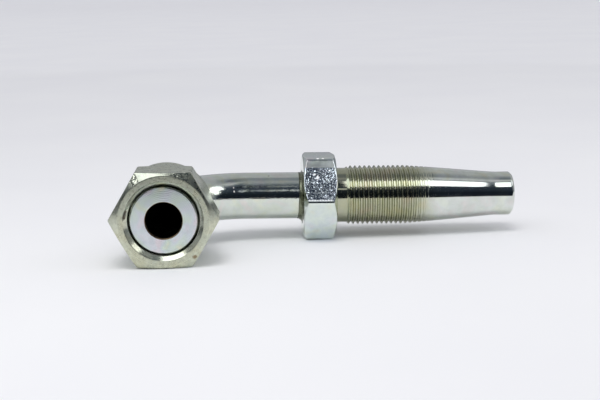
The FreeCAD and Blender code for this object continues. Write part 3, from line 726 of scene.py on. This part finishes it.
# The thread is cut right-handed into a body that rises to the crest, and then tapers to the land.
hose_run = np.arange(THREAD_START, THREAD_STOP, HOSE_PITCH / HOSE_STEPS)
helix = np.arctan2(np.sin(hex_angles), np.cos(hex_angles)) / (2 * np.pi)
phase = (hose_run[None, :] - THREAD_START) / HOSE_PITCH - helix[:, None]
body_radius = np.interp(hose_run, (THREAD_START, THREAD_START + LEAD_IN, TAPER, LAND_START),
                        (ROOT, CREST, CREST, LAND))
hose_radius = np.minimum(body_radius[None, :], CREST - groove(phase, CREST - ROOT))
hose_thread = np.stack([np.broadcast_to(hose_run, hose_radius.shape), hose_radius], -1)
taper_now = float(np.interp(TAPER_FROM, (TAPER, LAND_START), (CREST, LAND)))
nose_run = eased(rows(
    hex_angles.size, (TAPER_FROM, taper_now), (WAIST, LAND + 0.01), (LAND_FROM, LAND - WAIST_DEEP),
    (NOSE_END - OUTER_BREAK, LAND), (NOSE_END, LAND - OUTER_BREAK), (NOSE_END, BORE + INNER_BREAK),
    (NOSE_END - INNER_BREAK, BORE), (SOCKET_FLOOR, BORE), (SOCKET_FLOOR, SEAT_SOCKET),
    (SEAM + 0.1, SEAT_SOCKET)), NOSE_ROUNDINGS)
nipple_profile = np.concatenate([hex_run, hose_thread, nose_run], 1)

# Bright marks on the hexagon: two dots at the front corner of the top flat, two painted highlights on
# the upper front flat, and a row of painted reflection of the lit table along that flat's lower corner.
TOP_BRIGHT_DOTS = [((50.3, 34.5, 13.85), 0.60, "#fcfcfa"), ((52.0, 34.5, 13.85), 0.52, "#fafaf6")]
FRONT_GLINTS = [((50.0, 30.5, 8.0), 0.75, "#f4f8f8"), ((49.0, 31.1, 9.0), 0.5, "#eef2f2")]
EDGE_REFLECTION_LINE = [((float(x), 26.28, 0.8), 0.55, "#f4f8f8") for x in np.arange(47.1, 55.0, 0.9)]
# Bright zinc over drawn bar: silvery and smooth, with soft reflections.
hex_plate = plate("bright_zinc_on_drawn_hexagon", "#f1f4f0", "#e8ecea", PASSIVATED, 0.7, (0.10, 0.15),
                  1.8, 0.42, 6.0, spots=TOP_BRIGHT_DOTS)
# Bright zinc over a rough rolled skin: a glitter of crystals. Real grains are about 0.05 mm wide, too
# fine to show here, so they are drawn 0.3 to 0.6 mm wide.
# Its spots are painted: two highlights on the flat, and a line along its lower corner that paints the
# table's reflection.
grained_plate = plate("bright_zinc_on_grained_flat", "#eaf1f4", "#dbe3ea", PASSIVATED, 0.2, (0.08, 0.13),
                      1.8, 0.60, 50.0, facets=(0.30, 0.13), spots=FRONT_GLINTS + EDGE_REFLECTION_LINE)
# The same flat's upper edge, where handling has dulled the glitter to a plain grey.
edge_plate = plate("zinc_on_plain_upper_edge", "#eef0ea", "#dcdfd8", PASSIVATED, 0.7, (0.30, 0.36),
                   1.4, 0.42, 36.0)
# Zinc on polished steel: a clear mirror, with fine rings from turning drawn 0.35 mm apart instead of
# about 0.1 mm. The plate over the thread is olive, which ends where the thread fades out.
nose_plate = plate("zinc_on_thread_and_polished_nose", "#eeefe9", "#e0e2da", PASSIVATED, 0.6,
                   (0.07, 0.11), 4.0, 0.4, 0.6, ("BANDS", "X", 0.35, 0.15, 1.0),
                   until=(84.0, 92.0, "#d4d1bd"))
# The nose's rim, where the plate has stained: a dull olive line.
rim_plate = plate("olive_rim_of_nose", "#a8a178", "#746c48", PASSIVATED, 0.3, (0.18, 0.28),
                  1.5, 0.3, 2.0)
hex_rows, nipple_rows = hex_run.shape[1], nipple_profile.shape[1]
make_piece("threaded_hose_nipple", turned(nipple_profile, hex_angles, "X"), hex_plate,
           "fitting", "hose_nipple",
           patches=[(grained_plate, *FLAT_ROWS, *GRAINED_COLUMNS), (edge_plate, *FLAT_ROWS, *EDGE_COLUMNS),
                    (nose_plate, hex_rows - POLISHED_ROWS, nipple_rows - RIM_ROWS, 0, None),
                    (rim_plate, nipple_rows - RIM_ROWS, nipple_rows - NIPPLE_BORE_ROWS, 0, None),
                    (shaded_bore_steel, nipple_rows - NIPPLE_BORE_ROWS, nipple_rows, 0, None)])
